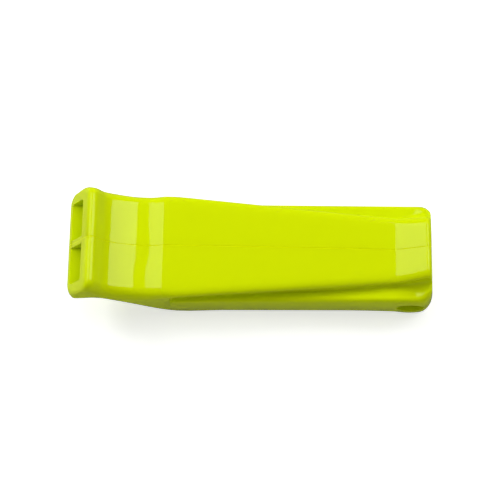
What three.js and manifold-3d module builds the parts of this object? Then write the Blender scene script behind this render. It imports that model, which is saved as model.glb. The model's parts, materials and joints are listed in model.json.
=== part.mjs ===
// Slim whistle without a ball, with two sound chambers side by side. All sizes are in millimetres.
//
// Two half shells meet on the middle plane, Y = 0, and hold a thin divider between them. While the
// pieces are built, X runs from the mouth to the tail, Y across and Z up from the flat back.
import * as THREE from 'three';
import { mergeVertices } from 'three/addons/utils/BufferGeometryUtils.js';
import Module from 'manifold-3d';

const wasm = await Module();
wasm.setup();

// Overall size and the plan view
const length = 60;
const neckHalfWidth = 9.05;
const bodyHalfWidth = 8.6;
const tailHalfWidth = 8.4;
const lipHalfWidth = 9;
const lipCornerRadius = 0.6;
const tailCornerRadius = 2.1;

// Mouth: the front face leans back, from a lower lip to a bead along its upper edge
const lipHeight = 8.45;
const mouthSetback = 2.75;
const mouthTopHeight = 12.25;
const beadCrestX = 3.9;
const beadCrestHeight = 13.3;
const beadBackX = 5.5;
const beadBackHeight = 11.9;
const lipLowX = 1.4;
const lipLowHeight = 6.9;
const throatX = 3.9;
const throatHeight = 7.45;

// Neck: a saddle on top, and below it a ramp that runs down to the flat back
const neckTopX = 6.8;
const neckTopHeight = 10.6;
const saddleX = 13.4;
const saddleHeight = 8.68;
const creaseX = 15.5;
const creaseHeight = 9.16;
const rampTopX = 8;
const rampTopHeight = 5.6;
const rampFootX = 12;
const rampFootHeight = 2.95;
const flatStartX = 19.4;

// Body: a flat top panel that narrows toward the tail, over a ledge along each side
const edgeRadius = 0.85;
const neckTopRadius = 1.8;
const neckUnderRadius = 1.6;
const neckRoundEndX = 9;
const bodyRoundStartX = 19.5;
const seamGroove = 0.06;
const panelHalfWidth = 8.85;
const panelTaper = THREE.MathUtils.degToRad(4.88);
const panelCrownWidth = 1.8;
const panelCrownDrop = 0.85;
const rimThickness = 0.22;
const recessStartX = 16.6;
const recessEndRadius = 0.9;
const undercutDepth = 0.8;
const undercutFullX = 25;
const undercutGoneX = 45;
const ledgeHeight = 5.7;
const ledgeEdgeRadius = 0.8;
const tailLedgeEdgeRadius = 1.6;
const ledgeFillet = 0.35;

// Tail: the top turns up to the end, and the back bulges round the oval lanyard bore
const tailCreaseToEnd = 6.3;
const tailCreaseHeight = 7.4;
const tailTopHeight = 9.22;
const tailEndLean = 0.45;
const tailEdgeRadius = 0.85;
const tailFillet = 2.2;
const tailLedgeRise = 1.5;
const tailLedgeRiseRun = 3.1;
const boreLength = 4.6;
const boreHeight = 3.05;
const boreCentreHeight = 2;
const boreEndWall = 1.4;
const boreBackWall = 1.68;
const bulgeRun = 15;

// Inside: walls, windways, windows and chambers
const wall = 1.15;
const dividerThickness = 1.2;
const dividerBite = 0.35;
const dividerClearance = 0.25;
const slotHalfWidth = 7;
const slotLipMargin = 0.6;
const slotHeight = 3.5;
const slotCornerRadius = 0.55;
const webCornerRadius = 0.3;
const slotDepth = 1;
const slotDip = THREE.MathUtils.degToRad(6);
const windwayHeight = 1.2;
const windwayStartX = 4.5;
const windwayEndX = 12.4;
const chamberFrontX = 10.3;
const labiumX = 17;
const labiumRampLength = 4.5;
const labiumEdge = 0.15;
const windowInnerY = 1.2;
const windowOuterY = 6.8;
const tailBlock = 9;
const toneDifference = 8;

// Values that follow from the sizes above
const dividerHalf = dividerThickness / 2;
const tailCreaseX = length - tailCreaseToEnd;
const bulgeHalfLength = boreLength / 2 + boreEndWall;
const bulgeHalfHeight = boreHeight / 2 + boreBackWall;
const boreX = length - bulgeHalfLength;
const bulgeDepth = bulgeHalfHeight - boreCentreHeight;
const cornerStartX = length - tailCornerRadius;
const longChamberEnd = length - tailBlock;
const shortChamberEnd = longChamberEnd - toneDifference;

const lerp = THREE.MathUtils.lerp;
const clamp = THREE.MathUtils.clamp;
const smoothstep = THREE.MathUtils.smoothstep;

// A side line is a list of knots, each with its place, height and slope. Between two knots it is
// a cubic. A crease has one slope before it and another after it.
function lineHeight(knots, x) {
  let i = 0;
  while (i < knots.length - 2 && x > knots[i + 1].x) i += 1;
  const from = knots[i];
  const to = knots[i + 1];
  const run = to.x - from.x;
  const t = clamp((x - from.x) / run, 0, 1);
  const startRise = (from.slopeAfter ?? from.slope) * run;
  const endRise = to.slope * run;
  const ease = t * t * (3 - 2 * t);
  return lerp(from.z, to.z, ease) + startRise * t * (1 - t) ** 2 - endRise * t * t * (1 - t);
}

const panelSlope = (tailCreaseHeight - creaseHeight) / (tailCreaseX - creaseX);
const tailTopX = length - tailEndLean - tailEdgeRadius;
const topLine = [
  { x: mouthSetback, z: mouthTopHeight, slope: 1.6 },
  { x: beadCrestX, z: beadCrestHeight, slope: 0 },
  { x: beadBackX, z: beadBackHeight, slope: -1.9 },
  { x: neckTopX, z: neckTopHeight, slope: -0.6 },
  { x: saddleX, z: saddleHeight, slope: 0 },
  { x: creaseX, z: creaseHeight, slope: 0.3, slopeAfter: panelSlope },
  { x: tailCreaseX, z: tailCreaseHeight, slope: panelSlope, slopeAfter: 0.28 },
  { x: tailTopX, z: tailTopHeight, slope: 0.37 },
];

// Height of the top at x. The last stretch is the rounded upper edge of the tail.
function topHeight(x) {
  if (x <= tailTopX) return lineHeight(topLine, x);
  const past = Math.min(x - tailTopX, tailEdgeRadius);
  return tailTopHeight - tailEdgeRadius + Math.sqrt(tailEdgeRadius ** 2 - past ** 2);
}

const rampSlope = (rampFootHeight - rampTopHeight) / (rampFootX - rampTopX);
const bulgeStartX = boreX - bulgeHalfLength * 0.46;
const bulgeStartHeight = ringBottom(bulgeStartX);
const bulgeStartSlope = (ringBottom(bulgeStartX + 0.01) - bulgeStartHeight) / 0.01;
const backLine = [
  { x: 0, z: lipHeight, slope: -4 },
  { x: lipLowX, z: lipLowHeight, slope: 0 },
  { x: throatX, z: throatHeight, slope: 0 },
  { x: rampTopX, z: rampTopHeight, slope: rampSlope },
  { x: rampFootX, z: rampFootHeight, slope: rampSlope },
  { x: flatStartX, z: 0, slope: 0 },
  { x: length - bulgeRun, z: 0, slope: 0 },
  { x: tailCreaseX - 0.5, z: -bulgeDepth * 0.38, slope: -0.09 },
  { x: bulgeStartX, z: bulgeStartHeight, slope: bulgeStartSlope },
];

// Underside of the ring of material round the lanyard bore, an ellipse with the bore's centre
function ringBottom(x) {
  const across = clamp((x - boreX) / bulgeHalfLength, -1, 1);
  return boreCentreHeight - bulgeHalfHeight * Math.sqrt(1 - across ** 2);
}

// Height of the back at x
function backHeight(x) {
  return x < bulgeStartX ? lineHeight(backLine, x) : ringBottom(x);
}

// The point at a distance inside the back surface, square to it, above the place x
function insideBack(x, distance) {
  const step = 0.05;
  const slope = (backHeight(x + step) - backHeight(x - step)) / (2 * step);
  const normal = new THREE.Vector2(-slope, 1).normalize();
  return new THREE.Vector2(x, backHeight(x)).addScaledVector(normal, distance);
}

// Half the width of the sides, with the flared lip and the rounded corners at both ends
function halfWidth(s) {
  const neckShare = clamp((undercutFullX - s) / (undercutFullX - neckTopX), 0, 1);
  const tailShare = clamp((s - creaseX) / (length - creaseX), 0, 1);
  let width = lerp(lerp(bodyHalfWidth, tailHalfWidth, tailShare), neckHalfWidth, neckShare);
  const flare = 1 - smoothstep(s, lipLowX, throatX);
  width += flare * (lipHalfWidth - neckHalfWidth);
  if (s < lipCornerRadius) {
    width -= lipCornerRadius - Math.sqrt(lipCornerRadius ** 2 - (lipCornerRadius - s) ** 2);
  }
  if (s > cornerStartX) {
    const past = Math.min(s - cornerStartX, tailCornerRadius);
    width -= tailCornerRadius - Math.sqrt(tailCornerRadius ** 2 - past ** 2);
  }
  return width;
}

// Half the width of the top panel, at its rim
function panelEdge(s) {
  return Math.min(panelHalfWidth - Math.tan(panelTaper) * (s - recessStartX), halfWidth(s));
}

// How far the wall of the recess lies behind the rim of the panel
function undercut(s) {
  return undercutDepth * clamp((undercutGoneX - s) / (undercutGoneX - undercutFullX), 0.02, 1);
}

// The ledge turns up a little just before the end of the tail
function ledgeTop(s) {
  const past = clamp((s - (length - tailLedgeRiseRun)) / tailLedgeRiseRun, 0, 1);
  return ledgeHeight + tailLedgeRise * past ** 2;
}

// An arc as points [y, z], from one corner angle to another, with its two half axes
function arcPoints(y, z, radiusY, radiusZ, fromDegrees, toDegrees, steps) {
  const points = [];
  for (let i = 0; i <= steps; i += 1) {
    const angle = THREE.MathUtils.degToRad(lerp(fromDegrees, toDegrees, i / steps));
    points.push([y + radiusY * Math.cos(angle), z + radiusZ * Math.sin(angle)]);
  }
  return points;
}

// Outline of one half of the cross-section at the station s, as points [y, height above the back].
// It runs from the seam over the top, down the side and back to the seam. The two halves together
// leave a fine groove along the seam. Where there is no recess the points of the recess lie evenly
// spaced on the plain side.
function halfSection(s, height) {
  const side = halfWidth(s);
  const recess = recessShare(s);
  const rim = lerp(side, panelEdge(s), recess > 0 ? 1 : 0);
  const bodyShare = smoothstep(s, neckRoundEndX, bodyRoundStartX);
  const crown = lerp(neckTopRadius, panelCrownWidth, bodyShare);
  const crownDrop = lerp(neckTopRadius, panelCrownDrop, bodyShare);
  const top = arcPoints(rim - crown, height - crownDrop, crown, crownDrop, 90, 0, 6);
  const under = lerp(neckUnderRadius, edgeRadius, bodyShare);
  const bottom = arcPoints(side - under, under, under, under, 0, -90, 4);

  const ledge = ledgeTop(s) - backHeight(s);
  const rimBottom = height - crownDrop - rimThickness;
  const wallY = rim - undercut(s);
  const freeFillet = lerp(ledgeFillet, tailFillet, smoothstep(s, undercutGoneX, length - 2));
  const fillet = Math.min(freeFillet, rimBottom - 0.1 - ledge);
  const freeEdge = lerp(ledgeEdgeRadius, tailLedgeEdgeRadius, smoothstep(s, cornerStartX - 1, length));
  const edge = Math.min(freeEdge, 0.6 * (side - wallY));
  const filletWidth = Math.min(fillet, side - edge - wallY - 0.05);
  const lip = arcPoints(rim - 0.2, rimBottom + 0.2, 0.2, 0.2, 0, -90, 2);
  const recessPoints = [
    ...lip,
    [wallY, rimBottom - 0.05],
    ...arcPoints(wallY + filletWidth, ledge + fillet, filletWidth, fillet, 180, 270, 4),
    ...arcPoints(side - edge, ledge - edge, edge, edge, 90, 0, 4),
  ];
  const sideTop = height - crownDrop;
  const middle = recessPoints.map(([y, z], i) => {
    const plainZ = lerp(sideTop, under, (i + 1) / (recessPoints.length + 1));
    return [lerp(side, y, recess), lerp(plainZ, z, recess)];
  });
  const seamTop = [[0, height - seamGroove], [seamGroove, height]];
  const seamBottom = [[seamGroove, 0], [0, seamGroove]];
  return [...seamTop, ...top, ...middle, ...bottom, ...seamBottom];
}

// Share of the recess that is there at the station s: none in the neck, all of it in the body
function recessShare(s) {
  const t = clamp((s - recessStartX) / recessEndRadius, 0, 1);
  return Math.sqrt(1 - (1 - t) ** 2);
}

// Stations stand between a point of the back line and a point of the top line. They lean back at
// the mouth, stand upright from the crease on, and lean forward a little at the tail end.
function stationTopX(s) {
  if (s < creaseX) return s + mouthSetback * (1 - s / creaseX);
  return s - tailEndLean * clamp((s - cornerStartX) / tailCornerRadius, 0, 1);
}

// Places of the stations along the back, closest together where the surface turns fastest
function stationPlaces() {
  const places = [];
  const spread = (from, to, steps) => {
    for (let i = 0; i < steps; i += 1) places.push(lerp(from, to, i / steps));
  };
  const roundStart = (start, radius, steps) => {
    for (let i = 0; i < steps; i += 1) places.push(start + radius * (1 - Math.cos((i / steps) * Math.PI / 2)));
  };
  roundStart(0, lipCornerRadius, 4);
  spread(lipCornerRadius, throatX, 9);
  spread(throatX, neckTopX, 5);
  spread(neckTopX, creaseX, 12);
  places.push(creaseX);
  roundStart(recessStartX, recessEndRadius, 4);
  spread(recessStartX + recessEndRadius, undercutFullX, 4);
  spread(undercutFullX, length - bulgeRun, 3);
  spread(length - bulgeRun, tailCreaseX, 4);
  spread(tailCreaseX, cornerStartX, 6);
  for (let i = 0; i <= 8; i += 1) {
    places.push(cornerStartX + tailCornerRadius * Math.sin((i / 8) * Math.PI / 2));
  }
  return places;
}

// Lofts the half of the body with Y above 0 through all stations, and closes both ends
function loftedHalf() {
  const positions = [];
  const indices = [];
  const places = stationPlaces();
  let ring = 0;
  for (const s of places) {
    const back = new THREE.Vector2(s, backHeight(s));
    const top = new THREE.Vector2(stationTopX(s), topHeight(stationTopX(s)));
    const up = top.clone().sub(back);
    const height = up.length();
    up.normalize();
    const section = halfSection(s, height);
    ring = section.length;
    for (const [y, h] of section) positions.push(back.x + up.x * h, y, back.y + up.y * h);
  }
  for (let i = 0; i + 1 < places.length; i += 1) {
    for (let j = 0; j < ring; j += 1) {
      const a = i * ring + j;
      const b = i * ring + ((j + 1) % ring);
      indices.push(a, a + ring, b, b, a + ring, b + ring);
    }
  }
  const capOf = (start) => {
    const outline = [];
    for (let j = 0; j < ring; j += 1) {
      const k = 3 * (start + j);
      outline.push(new THREE.Vector2(positions[k + 1], positions[k + 2]));
    }
    return THREE.ShapeUtils.triangulateShape(outline, []);
  };
  const last = (places.length - 1) * ring;
  for (const [a, b, c] of capOf(0)) indices.push(a, c, b);
  for (const [a, b, c] of capOf(last)) indices.push(last + a, last + b, last + c);
  const geometry = new THREE.BufferGeometry();
  geometry.setAttribute('position', new THREE.Float32BufferAttribute(positions, 3));
  geometry.setIndex(indices);
  return geometry;
}

// A closed geometry as a solid that can be cut and joined
function solidOf(geometry) {
  const bare = geometry.clone();
  bare.deleteAttribute('normal');
  bare.deleteAttribute('uv');
  const merged = mergeVertices(bare, 1e-5);
  const mesh = new wasm.Mesh({
    numProp: 3,
    vertProperties: new Float32Array(merged.attributes.position.array),
    triVerts: new Uint32Array(merged.index.array),
  });
  return new wasm.Manifold(mesh);
}

// A solid as a geometry again
function geometryOf(solid) {
  const mesh = solid.getMesh();
  const geometry = new THREE.BufferGeometry();
  geometry.setAttribute('position', new THREE.Float32BufferAttribute(mesh.vertProperties, 3));
  geometry.setIndex(new THREE.Uint32BufferAttribute(mesh.triVerts, 1));
  geometry.computeVertexNormals();
  return geometry;
}

// An outline in the side view (x, z), extruded across from yFrom to yTo
function sidePrism(outline, yFrom, yTo) {
  const shape = outline instanceof THREE.Shape ? outline : new THREE.Shape(outline);
  const geometry = new THREE.ExtrudeGeometry(shape, {
    depth: yTo - yFrom,
    bevelEnabled: false,
    curveSegments: 12,
  });
  geometry.rotateX(Math.PI / 2);
  geometry.translate(0, yTo, 0);
  return geometry;
}

// A point of the mouth: rise mm up along the front face, and then depth mm in along the slots,
// which dip a little
const faceUp = new THREE.Vector2(mouthSetback, mouthTopHeight - lipHeight).normalize();
const slotIn = new THREE.Vector2(Math.cos(slotDip), -Math.sin(slotDip));
function mouthPoint(depth, rise) {
  return new THREE.Vector2(0, lipHeight).addScaledVector(faceUp, rise).addScaledVector(slotIn, depth);
}

// Points inside the back at a distance, from one place to another
function insideBackPoints(fromX, toX, distance, steps) {
  const points = [];
  for (let i = 0; i <= steps; i += 1) points.push(insideBack(lerp(fromX, toX, i / steps), distance));
  return points;
}

// Side outline of the hollow: the slot, the windway under its roof, the window's inside and the
// chamber. The roof of the windway reaches into it from the front as a tongue.
function hollowOutline(chamberEnd) {
  const roof = wall + windwayHeight;
  return [
    mouthPoint(slotDepth - 0.1, slotLipMargin),
    ...insideBackPoints(windwayStartX, windwayEndX, wall, 5),
    new THREE.Vector2(labiumX, wall),
    new THREE.Vector2(chamberEnd, wall),
    new THREE.Vector2(chamberEnd, topHeight(chamberEnd) - wall),
    new THREE.Vector2(creaseX, creaseHeight - wall),
    new THREE.Vector2((creaseX + saddleX) / 2, topHeight((creaseX + saddleX) / 2) - wall),
    new THREE.Vector2(saddleX, saddleHeight - wall),
    ...insideBackPoints(chamberFrontX, windwayEndX, roof + wall, 2),
    ...insideBackPoints(windwayEndX, windwayStartX, roof, 5),
    mouthPoint(slotDepth - 0.1, slotLipMargin + slotHeight),
  ];
}

// Side outline of the divider, or with a clearance that of the groove that it sits in. Its front
// edge is as high as the slots, and further in it reaches a little way into the walls.
function dividerOutline(clearance) {
  const bite = dividerBite + clearance;
  const roof = wall + windwayHeight + bite;
  const end = longChamberEnd + bite;
  return [
    mouthPoint(clearance > 0 ? -1 : 0.1, slotLipMargin),
    mouthPoint(slotDepth, slotLipMargin),
    ...insideBackPoints(windwayStartX, windwayEndX, wall - bite, 4),
    new THREE.Vector2(labiumX, wall - bite),
    new THREE.Vector2(end, wall - bite),
    new THREE.Vector2(end, topHeight(end) - wall + bite),
    new THREE.Vector2(creaseX, creaseHeight - wall + bite),
    new THREE.Vector2(saddleX, saddleHeight - wall + bite),
    ...insideBackPoints(chamberFrontX - 1.5, windwayStartX, roof, 3),
    mouthPoint(slotDepth, slotLipMargin + slotHeight),
    mouthPoint(clearance > 0 ? -1 : 0.1, slotLipMargin + slotHeight),
  ];
}

// One blow slot: a rectangle with rounded corners, smaller ones beside the web between the slots,
// cut straight in from the front face
function slotCutter() {
  const low = slotLipMargin;
  const high = slotLipMargin + slotHeight;
  const shape = new THREE.Shape();
  shape.moveTo(dividerHalf, low + webCornerRadius);
  shape.absarc(dividerHalf + webCornerRadius, low + webCornerRadius, webCornerRadius, -Math.PI, -Math.PI / 2);
  shape.lineTo(slotHalfWidth - slotCornerRadius, low);
  shape.absarc(slotHalfWidth - slotCornerRadius, low + slotCornerRadius, slotCornerRadius, -Math.PI / 2, 0);
  shape.absarc(slotHalfWidth - slotCornerRadius, high - slotCornerRadius, slotCornerRadius, 0, Math.PI / 2);
  shape.absarc(dividerHalf + webCornerRadius, high - webCornerRadius, webCornerRadius, Math.PI / 2, Math.PI);
  const outside = 1;
  const geometry = new THREE.ExtrudeGeometry(shape, {
    depth: slotDepth + outside,
    bevelEnabled: false,
    curveSegments: 5,
  });
  const across = new THREE.Vector3(0, 1, 0);
  const up = new THREE.Vector3(faceUp.x, 0, faceUp.y);
  const inward = new THREE.Vector3(slotIn.x, 0, slotIn.y);
  const start = mouthPoint(-outside, 0);
  geometry.applyMatrix4(new THREE.Matrix4().makeBasis(across, up, inward));
  geometry.translate(start.x, 0, start.y);
  return geometry;
}

// What has to stay solid behind the recess: everything outside a line one wall in from its wall
function recessJacket() {
  const start = recessStartX - wall;
  const shape = new THREE.Shape();
  const outsideY = 2 * lipHalfWidth;
  shape.moveTo(start, outsideY);
  shape.lineTo(start, halfWidth(start) - wall);
  for (const x of [recessStartX + recessEndRadius, undercutFullX, undercutGoneX, length]) {
    shape.lineTo(x, panelEdge(x) - undercut(x) - wall);
  }
  shape.lineTo(length, outsideY);
  const geometry = new THREE.ExtrudeGeometry(shape, { depth: 3 * ledgeHeight, bevelEnabled: false });
  geometry.translate(0, 0, ledgeHeight - wall);
  return geometry;
}

// The window of one chamber, a cut through the back just behind the end of the windway
function windowOutline() {
  return [
    insideBack(windwayEndX, wall + 0.2),
    insideBack(windwayEndX, -2),
    new THREE.Vector2(labiumX, -2),
    new THREE.Vector2(labiumX, wall + 0.2),
  ];
}

// The ramp on the back that leaves the sharp edge of the labium behind the window
function labiumRampOutline() {
  const rise = wall - labiumEdge;
  const slope = rise / labiumRampLength;
  const below = 0.5;
  return [
    new THREE.Vector2(labiumX - 0.1, rise + 0.1 * slope),
    new THREE.Vector2(labiumX - 0.1, -below),
    new THREE.Vector2(labiumX + (rise + below) / slope, -below),
  ];
}

// One half shell, on the side where Y is above 0
function halfShell(chamberEnd) {
  const hollow = solidOf(sidePrism(hollowOutline(chamberEnd), dividerHalf - 0.1, slotHalfWidth - 0.1));
  let shell = solidOf(loftedHalf());
  shell = shell.subtract(hollow.subtract(solidOf(recessJacket())));
  shell = shell.subtract(solidOf(slotCutter()));
  shell = shell.subtract(solidOf(sidePrism(dividerOutline(dividerClearance), -1, dividerHalf)));
  shell = shell.subtract(solidOf(sidePrism(windowOutline(), windowInnerY, windowOuterY)));
  shell = shell.subtract(solidOf(sidePrism(labiumRampOutline(), windowInnerY, windowOuterY)));
  if (chamberEnd < longChamberEnd) shell = shell.subtract(corePocket(chamberEnd + wall));
  return shell.subtract(solidOf(lanyardBore()));
}

// The space between the short chamber's end wall and the solid tail
function corePocket(start) {
  const outline = [
    new THREE.Vector2(start, wall),
    new THREE.Vector2(longChamberEnd, wall),
    new THREE.Vector2(longChamberEnd, topHeight(longChamberEnd) - wall),
    new THREE.Vector2(start, topHeight(start) - wall),
  ];
  const pocket = solidOf(sidePrism(outline, dividerHalf - 0.1, slotHalfWidth - 0.1));
  return pocket.subtract(solidOf(recessJacket()));
}

// The oval bore through the whole width of the tail
function lanyardBore() {
  const oval = new THREE.Shape();
  oval.absellipse(boreX, boreCentreHeight, boreLength / 2, boreHeight / 2, 0, 2 * Math.PI);
  return sidePrism(oval, -lipHalfWidth, lipHalfWidth);
}

function mirrored(geometry) {
  const turned = geometry.clone();
  turned.scale(1, -1, 1);
  const index = turned.index.array;
  for (let i = 0; i < index.length; i += 3) [index[i], index[i + 1]] = [index[i + 1], index[i]];
  turned.computeVertexNormals();
  return turned;
}

// Glossy lime plastic. The two shells are one colour, and the divider is the same plastic unpolished.
const shellPlastic = { color: 0xcfe102, roughness: 0.18, metalness: 0 };
const dividerPlastic = { color: 0xc6d808, roughness: 0.4, metalness: 0 };

function piece(name, geometry, plastic) {
  const mesh = new THREE.Mesh(geometry, new THREE.MeshStandardMaterial(plastic));
  mesh.name = name;
  return mesh;
}

const whistle = new THREE.Group();
whistle.name = 'whistle';
whistle.add(piece('left_half_shell', geometryOf(halfShell(shortChamberEnd)), shellPlastic));
whistle.add(piece('right_half_shell', mirrored(geometryOf(halfShell(longChamberEnd))), shellPlastic));
const divider = sidePrism(dividerOutline(0), -dividerHalf, dividerHalf);
whistle.add(piece('chamber_divider', geometryOf(solidOf(divider)), dividerPlastic));

// The whistle lies as it would on a table: on the front end of its flat back and on the bulge
// round the bore, which tips it forward a little. The origin is under the middle of its box.
whistle.rotation.y = -Math.atan2(bulgeDepth, boreX - flatStartX);
whistle.updateMatrixWorld(true);
const box = new THREE.Box3().setFromObject(whistle, true);
whistle.position.set(-(box.min.x + box.max.x) / 2, 0, -box.min.z);

export default whistle;
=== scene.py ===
import json
import math

import bmesh
import bpy
from mathutils import Matrix, Vector


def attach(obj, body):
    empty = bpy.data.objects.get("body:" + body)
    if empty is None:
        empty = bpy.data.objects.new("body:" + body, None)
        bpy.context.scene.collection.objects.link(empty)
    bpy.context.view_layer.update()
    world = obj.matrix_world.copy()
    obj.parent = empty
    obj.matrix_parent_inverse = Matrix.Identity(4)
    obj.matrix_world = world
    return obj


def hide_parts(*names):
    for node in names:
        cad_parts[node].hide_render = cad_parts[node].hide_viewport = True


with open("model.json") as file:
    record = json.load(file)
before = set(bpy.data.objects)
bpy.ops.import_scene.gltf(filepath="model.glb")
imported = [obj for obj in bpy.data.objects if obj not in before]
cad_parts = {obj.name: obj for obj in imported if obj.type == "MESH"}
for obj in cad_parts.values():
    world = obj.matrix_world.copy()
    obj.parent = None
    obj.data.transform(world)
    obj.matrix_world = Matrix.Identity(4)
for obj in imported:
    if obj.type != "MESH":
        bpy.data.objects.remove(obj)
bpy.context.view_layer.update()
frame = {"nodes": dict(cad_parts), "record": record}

# Where the whistle lies. The CAD model lies tipped on its back, and the mount on the flat back
# says by how much. The shape is easiest to place from the mouth's lower lip, along the back, so
# lying turns and moves such places (x from the lip, y across, z off the back) to the table.
MM = 0.001
MOUNT_FROM_LIP = Vector((33 * MM, 4 * MM, 0))

flat_back = frame["record"]["mounts"][0]
tip = -math.atan2(flat_back["axis"][0], -flat_back["axis"][2])
turn = Matrix.Rotation(tip, 4, "Y")
lying = Matrix.Translation(Vector(flat_back["pos_m"]) - turn @ MOUNT_FROM_LIP) @ turn

# The camera stands where the photograph was taken from: almost above the whistle, a little to
# its right side, with a long lens. Its angles and its target are given against the flat back.
PHOTO_SIDE = 500
FOCAL_PIXELS = 1790
SENSOR = 36
ELEVATION = math.radians(70.88)
AZIMUTH = math.radians(-4.25)
ROLL = math.radians(-3.69)
CAMERA_DISTANCE = 302.62 * MM
CAMERA_TARGET = Vector((29.571 * MM, 2.333 * MM, 0))

toward_camera = Vector((
    -math.sin(AZIMUTH) * math.cos(ELEVATION),
    -math.cos(AZIMUTH) * math.cos(ELEVATION),
    math.sin(ELEVATION),
))
level_right = (-toward_camera).cross(Vector((0, 0, 1))).normalized()
level_up = level_right.cross(-toward_camera)
camera_right = level_right * math.cos(ROLL) + level_up * math.sin(ROLL)
camera_up = level_up * math.cos(ROLL) - level_right * math.sin(ROLL)
facing = Matrix((camera_right, camera_up, toward_camera)).transposed().to_4x4()
camera_place = Matrix.Translation(CAMERA_TARGET + toward_camera * CAMERA_DISTANCE) @ facing

bpy.ops.object.camera_add()
camera = bpy.context.object
camera.name = "photo_camera"
camera.matrix_world = lying @ camera_place
camera.data.sensor_width = SENSOR
camera.data.lens = FOCAL_PIXELS / PHOTO_SIDE * SENSOR
bpy.context.scene.camera = camera
bpy.context.scene.view_settings.view_transform = "Standard"

# The table is a plain sheet of matt white paper. It is a little brighter to the camera than the
# lamps alone make it, so that it shows as white, and it keeps the whistle's soft shadow.
TABLE_SIZE = 3.0
PAPER_WHITE = 0.75
PAPER_ROUGHNESS = 0.9
TABLE_GLOW = 0.6

bpy.ops.mesh.primitive_plane_add(size=TABLE_SIZE, location=(0, 0, 0))
table = bpy.context.object
table.name = "white_table"
table_paper = bpy.data.materials.new("white_table")
table_paper.use_nodes = True
nodes = table_paper.node_tree.nodes
links = table_paper.node_tree.links
paper = nodes["Principled BSDF"]
paper.inputs["Base Color"].default_value = (PAPER_WHITE, PAPER_WHITE, PAPER_WHITE, 1)
paper.inputs["Roughness"].default_value = PAPER_ROUGHNESS
paper.inputs["Specular IOR Level"].default_value = 0
paper.inputs["Emission Color"].default_value = (1, 1, 1, 1)
seen = nodes.new("ShaderNodeLightPath")
glow = nodes.new("ShaderNodeMath")
glow.operation = "MULTIPLY"
glow.inputs[1].default_value = TABLE_GLOW
links.new(seen.outputs["Is Camera Ray"], glow.inputs[0])
links.new(glow.outputs[0], paper.inputs["Emission Strength"])
table.data.materials.append(table_paper)

# The studio light. The gloss shows the two softboxes as bright patches, with a gap between them
# wherever the top bends. The four fills around them only light the plastic and stay out of its
# gloss: the far one throws the panel's shadow on the near ledge, and the front one is the weakest.
LAMP_HEIGHT = 0.6


def add_softbox(name, from_x, to_x, from_y, to_y, power, in_gloss):
    """A flat softbox that hangs level over the table between these places, in metres."""
    bpy.ops.object.light_add(
        type="AREA",
        location=((from_x + to_x) / 2, (from_y + to_y) / 2, LAMP_HEIGHT),
    )
    lamp = bpy.context.object
    lamp.name = name
    lamp.data.shape = "RECTANGLE"
    lamp.data.size = to_x - from_x
    lamp.data.size_y = to_y - from_y
    lamp.data.energy = power
    lamp.visible_glossy = in_gloss


add_softbox("softbox_right", 0.145, 0.76, 0.02, 0.65, power=2.0, in_gloss=True)
add_softbox("softbox_left", -0.66, -0.06, -0.04, 0.65, power=1.5, in_gloss=True)
add_softbox("far_fill", -0.35, 0.35, 0.50, 0.90, power=3.7, in_gloss=False)
add_softbox("tail_fill", 0.50, 0.90, 0.20, 0.60, power=3.1, in_gloss=False)
add_softbox("mouth_fill", -0.90, -0.50, 0.20, 0.60, power=5.6, in_gloss=False)
add_softbox("front_fill", -0.35, 0.35, -0.90, -0.50, power=2.3, in_gloss=False)

# The room round the table. The gloss shows it nearly black above and grey below, lighter on the
# mouth's side, and leaves the table out, as it would wash the sides out. To the camera, the room
# past the table's edge is plain white.
ROOM_ABOVE = 0.015
ROOM_BELOW = 0.1
ROOM_BELOW_MOUTH = 0.37
FADE_UPWARD = (-0.05, 0.35)
FADE_FROM_MOUTH = (-0.8, -0.2)


def add_range(tree, value, from_range, to_range):
    """Turns a value that runs through one range into one that runs through another, clamped."""
    mapped = tree.nodes.new("ShaderNodeMapRange")
    mapped.inputs["From Min"].default_value = from_range[0]
    mapped.inputs["From Max"].default_value = from_range[1]
    mapped.inputs["To Min"].default_value = to_range[0]
    mapped.inputs["To Max"].default_value = to_range[1]
    tree.links.new(value, mapped.inputs["Value"])
    return mapped


table.visible_glossy = False
world = bpy.data.worlds.new("studio")
bpy.context.scene.world = world
world.use_nodes = True
studio = world.node_tree
toward = studio.nodes.new("ShaderNodeTexCoord")
direction = studio.nodes.new("ShaderNodeSeparateXYZ")
studio.links.new(toward.outputs["Generated"], direction.inputs[0])
below = add_range(studio, direction.outputs["X"], FADE_FROM_MOUTH, (ROOM_BELOW_MOUTH, ROOM_BELOW))
brightness = add_range(studio, direction.outputs["Z"], FADE_UPWARD, (ROOM_BELOW, ROOM_ABOVE))
studio.links.new(below.outputs["Result"], brightness.inputs["To Min"])
seen = studio.nodes.new("ShaderNodeLightPath")
backdrop = studio.nodes.new("ShaderNodeMath")
backdrop.operation = "MAXIMUM"
studio.links.new(brightness.outputs["Result"], backdrop.inputs[0])
studio.links.new(seen.outputs["Is Camera Ray"], backdrop.inputs[1])
room = studio.nodes["Background"]
room.inputs["Color"].default_value = (1, 1, 1, 1)
studio.links.new(backdrop.outputs[0], room.inputs["Strength"])

# The two half shells are injection moulded in glossy lime plastic and welded along the middle.
# Each one here is a copy of its CAD solid with its triangles merged, so the gloss runs smooth
# over the round edges, and stays crisp at the creases and at the rims of the slots and windows.
SMOOTH_ANGLE = math.radians(28)
MERGE_DISTANCE = 0.0001 * MM
SAME_PLACE = 0.01 * MM
CREASES_FROM_LIP = (15.5 * MM, 53.7 * MM)
RECESS_FROM_LIP = 16.6 * MM


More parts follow.
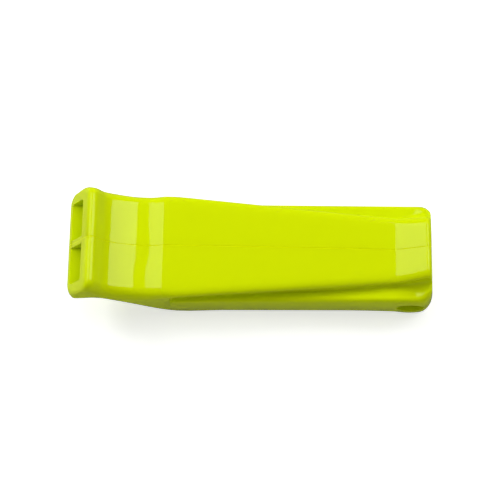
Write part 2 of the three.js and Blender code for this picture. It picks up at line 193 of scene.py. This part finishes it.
def select_edges(piece, places):
    """Selects the edges that lie straight across the whistle at these places from the lip."""
    bpy.ops.object.mode_set(mode="EDIT")
    bpy.ops.mesh.select_all(action="DESELECT")
    bpy.ops.object.mode_set(mode="OBJECT")
    from_lip = lying.inverted()
    along = [(from_lip @ vertex.co).x for vertex in piece.data.vertices]
    for edge in piece.data.edges:
        for place in places:
            if all(abs(along[end] - place) < SAME_PLACE for end in edge.vertices):
                edge.select = True


def smooth_copy(node_name, piece_name, plastic):
    """A merged, smooth-shaded copy of a CAD node, in this plastic, which stands in for it."""
    bpy.ops.object.select_all(action="DESELECT")
    node = frame["nodes"][node_name]
    node.select_set(True)
    bpy.context.view_layer.objects.active = node
    bpy.ops.object.duplicate()
    piece = bpy.context.object
    # The copy drops the marks and the parent that it has from the node.
    for key in list(piece.keys()):
        if key.startswith("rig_"):
            del piece[key]
    piece.parent = None
    piece.name = piece_name
    piece.data.name = piece_name

    merged = bmesh.new()
    merged.from_mesh(piece.data)
    bmesh.ops.remove_doubles(merged, verts=merged.verts, dist=MERGE_DISTANCE)
    merged.to_mesh(piece.data)
    merged.free()

    # The creases are kept sharp, though they bend by less than the smoothing angle. The start of
    # the recess is left soft, though it bends by more.
    bpy.ops.object.mode_set(mode="EDIT")
    bpy.ops.mesh.select_all(action="SELECT")
    bpy.ops.mesh.customdata_custom_splitnormals_clear()
    bpy.ops.mesh.select_mode(type="EDGE")
    bpy.ops.object.mode_set(mode="OBJECT")
    select_edges(piece, CREASES_FROM_LIP)
    bpy.ops.object.mode_set(mode="EDIT")
    bpy.ops.mesh.mark_sharp()
    bpy.ops.object.mode_set(mode="OBJECT")
    bpy.ops.object.shade_smooth_by_angle(angle=SMOOTH_ANGLE)
    select_edges(piece, (RECESS_FROM_LIP,))
    bpy.ops.object.mode_set(mode="EDIT")
    bpy.ops.mesh.mark_sharp(clear=True)
    bpy.ops.object.mode_set(mode="OBJECT")
    bpy.ops.object.select_all(action="DESELECT")

    piece.data.materials.clear()
    piece.data.materials.append(plastic)
    return piece


# The dye is even, with faint flow marks from the mould. Along the seam it is painted paler, a
# painted light that lifts the shade in the seam's groove. The seam light's edge is how far from
# the middle the painted light starts to fade, and how far out it is gone.
LIME_DARKER = (0.690, 0.830, 0.0004, 1)
LIME_PALER = (0.720, 0.862, 0.0008, 1)
SEAM_LIGHT_LIME = (0.84, 0.99, 0.001, 1)
SEAM_LIGHT_EDGE = (0.06 * MM, 0.10 * MM)
FLOW_MARKS_PER_METRE = 60


def add_noise(tree, place, marks_per_metre, detail):
    """A cloudy pattern from 0 to 1 that belongs to the place on the piece."""
    noise = tree.nodes.new("ShaderNodeTexNoise")
    noise.inputs["Scale"].default_value = marks_per_metre
    noise.inputs["Detail"].default_value = detail
    tree.links.new(place, noise.inputs["Vector"])
    return noise.outputs["Fac"]


def add_dye(tree, place):
    """The colour of the lime plastic at each place, with painted light along the seam."""
    flow = add_noise(tree, place, FLOW_MARKS_PER_METRE, detail=3)
    lime = tree.nodes.new("ShaderNodeMix")
    lime.data_type = "RGBA"
    lime.inputs["A"].default_value = LIME_DARKER
    lime.inputs["B"].default_value = LIME_PALER
    tree.links.new(flow, lime.inputs["Factor"])

    # A paler colour along the seam is painted light that lifts the shade in its groove.
    across = tree.nodes.new("ShaderNodeSeparateXYZ")
    off_seam = tree.nodes.new("ShaderNodeMath")
    off_seam.operation = "ABSOLUTE"
    tree.links.new(place, across.inputs[0])
    tree.links.new(across.outputs["Y"], off_seam.inputs[0])
    seam_light = add_range(tree, off_seam.outputs[0], SEAM_LIGHT_EDGE, (1, 0))
    seam_lifted = tree.nodes.new("ShaderNodeMix")
    seam_lifted.data_type = "RGBA"
    seam_lifted.inputs["B"].default_value = SEAM_LIGHT_LIME
    tree.links.new(seam_light.outputs["Result"], seam_lifted.inputs["Factor"])
    tree.links.new(lime.outputs["Result"], seam_lifted.inputs["A"])
    return seam_lifted.outputs["Result"]


# Handling leaves the gloss a little uneven, with hairline scuffs. The scuffs are a fine pattern,
# stretched along the whistle, of which only the highest parts show.
HANDLING_MARKS_PER_METRE = 220
HANDLING_RANGE = (0.3, 0.7)
SMOOTHER_BY = 0.02
ROUGHER_BY = 0.03
SCUFFS_PER_METRE = 2600
SCUFF_STRETCH = (0.06, 1, 1)
SCUFF_RANGE = (0.66, 0.78)
SCUFF_ROUGHNESS = 0.12


def add_gloss(tree, place, roughness):
    """The roughness of the lime plastic at each place, about this one."""
    handled = add_noise(tree, place, HANDLING_MARKS_PER_METRE, detail=4)
    gloss_range = (roughness - SMOOTHER_BY, roughness + ROUGHER_BY)
    gloss = add_range(tree, handled, HANDLING_RANGE, gloss_range)
    stretched = tree.nodes.new("ShaderNodeMapping")
    stretched.inputs["Scale"].default_value = SCUFF_STRETCH
    tree.links.new(place, stretched.inputs["Vector"])
    hairlines = add_noise(tree, stretched.outputs["Vector"], SCUFFS_PER_METRE, detail=1)
    scuffs = add_range(tree, hairlines, SCUFF_RANGE, (0, SCUFF_ROUGHNESS))
    scuffed = tree.nodes.new("ShaderNodeMath")
    scuffed.operation = "ADD"
    tree.links.new(gloss.outputs["Result"], scuffed.inputs[0])
    tree.links.new(scuffs.outputs["Result"], scuffed.inputs[1])
    return scuffed.outputs[0]


# The skin sinks in broad waves as it cools, and has a fine orange peel. Two low swells in the neck,
# one at the weld and one to its right, bend the gap between the bright patches as in the
# photograph. Each swell has its middle and its radius.
SINKS_PER_METRE = 110
SINK_DEPTH = 0.03 * MM
PEEL_PER_METRE = 900
PEEL_DEPTH = 0.002 * MM
SWELL_HEIGHT = 0.11 * MM
SWELLS_FROM_LIP = (
    (Vector((11 * MM, 0, 8.8 * MM)), 4.2 * MM),
    (Vector((14.3 * MM, -5.5 * MM, 8.6 * MM)), 4.5 * MM),
)


def add_relief(tree, height, depth, normal=None):
    """Lifts the skin by this depth where height is 1, on top of any relief in normal."""
    relief = tree.nodes.new("ShaderNodeBump")
    relief.inputs["Strength"].default_value = 1
    relief.inputs["Distance"].default_value = depth
    tree.links.new(height, relief.inputs["Height"])
    if normal is not None:
        tree.links.new(normal, relief.inputs["Normal"])
    return relief.outputs["Normal"]


def add_skin(tree, place):
    """The relief of the moulded skin at each place."""
    sinks = add_noise(tree, place, SINKS_PER_METRE, detail=1)
    normal = add_relief(tree, sinks, SINK_DEPTH)
    for centre, radius in SWELLS_FROM_LIP:
        reach = tree.nodes.new("ShaderNodeVectorMath")
        reach.operation = "DISTANCE"
        reach.inputs[1].default_value = lying @ centre
        tree.links.new(place, reach.inputs[0])
        swell = add_range(tree, reach.outputs["Value"], (0, radius), (1, 0))
        swell.interpolation_type = "SMOOTHSTEP"
        normal = add_relief(tree, swell.outputs["Result"], SWELL_HEIGHT, normal)
    peel = add_noise(tree, place, PEEL_PER_METRE, detail=2)
    return add_relief(tree, peel, PEEL_DEPTH, normal)


def lime_plastic(name, roughness):
    """Moulded lime plastic, which lets a little light in under its skin."""
    material = bpy.data.materials.new(name)
    material.use_nodes = True
    tree = material.node_tree
    plastic = tree.nodes["Principled BSDF"]
    plastic.inputs["IOR"].default_value = 1.5
    plastic.inputs["Subsurface Weight"].default_value = 0.3
    plastic.inputs["Subsurface Radius"].default_value = (0.95, 1.0, 0.15)
    plastic.inputs["Subsurface Scale"].default_value = 0.8 * MM
    place = tree.nodes.new("ShaderNodeTexCoord").outputs["Object"]
    tree.links.new(add_dye(tree, place), plastic.inputs["Base Color"])
    tree.links.new(add_gloss(tree, place, roughness), plastic.inputs["Roughness"])
    tree.links.new(add_skin(tree, place), plastic.inputs["Normal"])
    return material


POLISHED_ROUGHNESS = 0.055

shell_plastic = lime_plastic("lime_plastic_polished", POLISHED_ROUGHNESS)

for side in ("left", "right"):
    shell = smooth_copy(side + "_half_shell", side + "_shell", shell_plastic)
    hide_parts(side + "_half_shell")
    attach(shell, "root")

# The divider is a thin plate of the same plastic, less polished, held in a groove between the two
# shells. Only its front edge, the web between the blow slots, and its faces inside the windways
# can be seen.
PLAIN_ROUGHNESS = 0.3

divider_plastic = lime_plastic("lime_plastic_plain", PLAIN_ROUGHNESS)
divider = smooth_copy("chamber_divider", "divider", divider_plastic)
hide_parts("chamber_divider")
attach(divider, "root")
